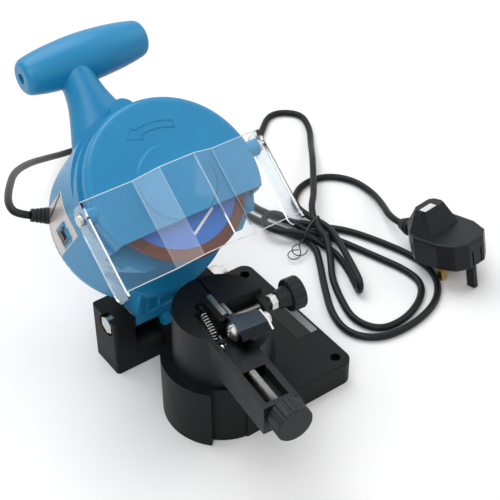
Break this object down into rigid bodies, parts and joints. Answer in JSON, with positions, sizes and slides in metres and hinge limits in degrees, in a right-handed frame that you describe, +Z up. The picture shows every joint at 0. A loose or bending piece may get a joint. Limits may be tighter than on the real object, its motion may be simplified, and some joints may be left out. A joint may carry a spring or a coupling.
{
  "type": "electric chainsaw sharpener",
  "caption": "Bench-mounted electric chain sharpener: tilting motor head with handle, covered grinding wheel and clear visor, over a swivelling chain vice, with mains lead and plug.",
  "frame": {"origin": "on the bench plane, midway between the two bench bolt holes", "axes": "+Z up, +Y towards the back of the tool, where the head tilts to, and +X along the hinge pin, away from the drum side. It is stored with the head up."},
  "size_m": [0.3665, 0.459, 0.232],
  "materials": {
    "blue_abs": "moulded blue ABS, satin",
    "black_nylon": "moulded black glass-filled nylon, fine texture",
    "black_knob": "moulded black hand knobs",
    "clear_pc": "clear folded polycarbonate sheet",
    "abrasive": "red-brown bonded abrasive",
    "label": "printed paper label",
    "zinc_steel": "zinc-plated steel fasteners",
    "bright_steel": "bright chromed steel",
    "shaft_steel": "ground steel",
    "lamination": "stamped electrical steel",
    "copper": "enamelled copper wire",
    "carbon": "carbon",
    "brass": "brass",
    "fan_nylon": "white nylon",
    "cord_pvc": "black soft PVC sheath",
    "plug_black": "black moulded plastic",
    "tie_wire": "paper-covered wire"
  },
  "bodies": {
    "base": {"base_casting": "black_nylon", "hinge_bolt": "zinc_steel", "hinge_washers": "zinc_steel", "hinge_nut": "zinc_steel", "head_spring": "zinc_steel", "cord_lead": "cord_pvc", "cord_outer_loop": "cord_pvc", "cord_arch": "cord_pvc", "cord_inner_loop": "cord_pvc", "cord_tail": "cord_pvc", "cord_hank": "cord_pvc", "cord_tie": "tie_wire", "plug_body": "plug_black", "plug_relief": "cord_pvc", "plug_live_pin": "brass", "plug_neutral_pin": "brass", "plug_earth_pin": "plug_black"},
    "depth_screw": {"depth_stop_screw": "zinc_steel"},
    "depth_knob": {"depth_stop_knob": "black_knob"},
    "head": {"housing_left": "blue_abs", "housing_right": "blue_abs", "housing_screws": "zinc_steel", "wheel_cover": "blue_abs", "cover_screw": "zinc_steel", "visor_screws": "zinc_steel", "switch_frame": "plug_black", "cord_gland": "cord_pvc", "front_bearing": "shaft_steel", "rear_bearing": "shaft_steel", "stator": "lamination", "field_coils": "copper", "carbon_brushes": "carbon", "brush_holders": "brass"},
    "rotor": {"spindle": "shaft_steel", "grinding_wheel": "abrasive", "inner_flange": "shaft_steel", "outer_flange": "shaft_steel", "spindle_nut": "zinc_steel", "wheel_label": "label", "armature_core": "lamination", "armature_windings": "copper", "commutator": "copper", "cooling_fan": "fan_nylon"},
    "visor_guard": {"visor": "clear_pc"},
    "rocker": {"switch_rocker": "plug_black"},
    "turret": {"turret_body": "black_nylon", "fixed_jaw": "bright_steel", "slider_spring": "bright_steel"},
    "jaw": {"moving_jaw": "bright_steel"},
    "clamp": {"clamp_screw": "zinc_steel", "clamp_nut": "zinc_steel", "clamp_knob": "black_knob"},
    "slider": {"stop_slider": "bright_steel", "stop_pin": "zinc_steel"},
    "stop": {"chain_stop": "bright_steel"},
    "adjuster": {"adjuster_screw": "zinc_steel", "adjuster_knob": "black_knob"},
    "lock_stud": {"turret_lock_stud": "zinc_steel"},
    "lock_knob": {"turret_lock_knob": "black_knob"}
  },
  "joints": [
    {"name": "head_swing", "type": "hinge", "parent": "base", "child": "head", "pos_m": [-0.0833, 0.05245, 0.0428], "axis": [1, 0, 0], "range_deg": [0, 22], "stiffness_Nm_per_rad": 1.2, "springref_deg": -20.05},
    {"name": "visor_lift", "type": "hinge", "parent": "head", "child": "visor_guard", "pos_m": [-0.0833, 0.02667, 0.17114], "axis": [-1, 0, 0], "range_deg": [0, 20]},
    {"name": "spindle_spin", "type": "hinge", "parent": "head", "child": "rotor", "pos_m": [-0.0833, 0.02879, 0.16518], "axis": [0, 0.6157, -0.788], "continuous": true},
    {"name": "switch_rock", "type": "hinge", "parent": "head", "child": "rocker", "pos_m": [-0.1483, 0.0719, 0.12462], "axis": [0, 0.788, 0.6157], "range_deg": [0, 14]},
    {"name": "turret_swivel", "type": "hinge", "parent": "base", "child": "turret", "pos_m": [-0.0833, -0.02885, 0.052], "axis": [0, 0, 1], "range_deg": [-29.7, 40.3]},
    {"name": "jaw_slide", "type": "slide", "parent": "turret", "child": "jaw", "axis": [0.9957, -0.0924, 0], "range_m": [0, 0.0016]},
    {"name": "clamp_turn", "type": "hinge", "parent": "jaw", "child": "clamp", "pos_m": [-0.04379, -0.03603, 0.0845], "axis": [0.9957, -0.0924, 0], "range_deg": [0, 576]},
    {"name": "slider_slide", "type": "slide", "parent": "turret", "child": "slider", "axis": [-0.0924, -0.9957, 0], "range_m": [0, 0.024]},
    {"name": "adjuster_turn", "type": "hinge", "parent": "turret", "child": "adjuster", "pos_m": [-0.10131, -0.1256, 0.0855], "axis": [0.0924, 0.9957, 0], "range_deg": [0, 8640]},
    {"name": "chain_stop_lift", "type": "hinge", "parent": "slider", "child": "stop", "pos_m": [-0.07873, -0.05538, 0.0955], "axis": [0.9957, -0.0924, 0], "range_deg": [0, 25]},
    {"name": "lock_slide", "type": "slide", "parent": "turret", "child": "lock_stud", "axis": [0, 0, -1], "range_m": [0, 0.0015]},
    {"name": "lock_turn", "type": "hinge", "parent": "lock_stud", "child": "lock_knob", "pos_m": [-0.0833, -0.02885, 0.014], "axis": [0, 0, -1], "range_deg": [0, 360]},
    {"name": "depth_slide", "type": "slide", "parent": "base", "child": "depth_screw", "axis": [0, 1, 0], "range_m": [0, 0.005]},
    {"name": "depth_turn", "type": "hinge", "parent": "depth_screw", "child": "depth_knob", "pos_m": [-0.0853, 0.07715, 0.0265], "axis": [0, 1, 0], "range_deg": [0, 1800]}
  ],
  "couplings": [
    {"joint": "jaw_slide", "follows": "clamp_turn", "m_per_rad": 0.00015915},
    {"joint": "slider_slide", "follows": "adjuster_turn", "m_per_rad": 0.00015915},
    {"joint": "lock_slide", "follows": "lock_turn", "m_per_rad": 0.00023873},
    {"joint": "depth_slide", "follows": "depth_turn", "m_per_rad": 0.00015915}
  ]
}
